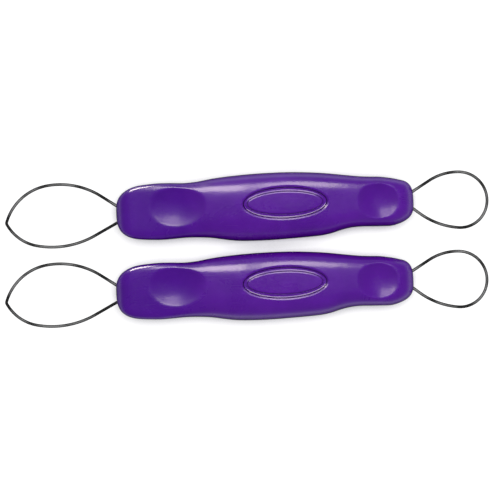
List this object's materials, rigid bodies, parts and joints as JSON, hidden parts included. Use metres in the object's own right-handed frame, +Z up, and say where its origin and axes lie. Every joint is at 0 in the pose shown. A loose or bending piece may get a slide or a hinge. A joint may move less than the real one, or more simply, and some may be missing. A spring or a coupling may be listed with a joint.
{
  "type": "hand grips",
  "caption": "Pair of slim contoured hand tools: a moulded grip with thumb dishes and a blank oval inlay, a pointed wire loop at one end and a round wire loop at the other.",
  "frame": {"origin": "bottom centre of the pair's box, on the plane both grips rest on", "axes": "+X along both tools from the pointed loops to the round loops, +Y across from grip B to grip A, +Z up from the flat undersides to the crowns"},
  "size_m": [0.195, 0.0586, 0.0171],
  "materials": {
    "grip_plastic": "glossy purple injection moulding",
    "inlay_plastic": "glossy purple injection moulding, blank",
    "loop_wire": "bright drawn spring-steel wire",
    "screw_steel": "zinc-plated steel"
  },
  "bodies": {
    "grip_a": {"grip_a_top_shell": "grip_plastic", "grip_a_bottom_shell": "grip_plastic", "grip_a_oval_inlay": "inlay_plastic", "grip_a_pointed_loop": "loop_wire", "grip_a_round_loop": "loop_wire", "grip_a_screws": "screw_steel"},
    "grip_b": {"grip_b_top_shell": "grip_plastic", "grip_b_bottom_shell": "grip_plastic", "grip_b_oval_inlay": "inlay_plastic", "grip_b_pointed_loop": "loop_wire", "grip_b_round_loop": "loop_wire", "grip_b_screws": "screw_steel"}
  },
  "joints": [
    {"name": "grip_b_lift", "type": "slide", "parent": "grip_a", "child": "grip_b", "axis": [0, 0, 1], "range_m": [0, 0.06]}
  ]
}
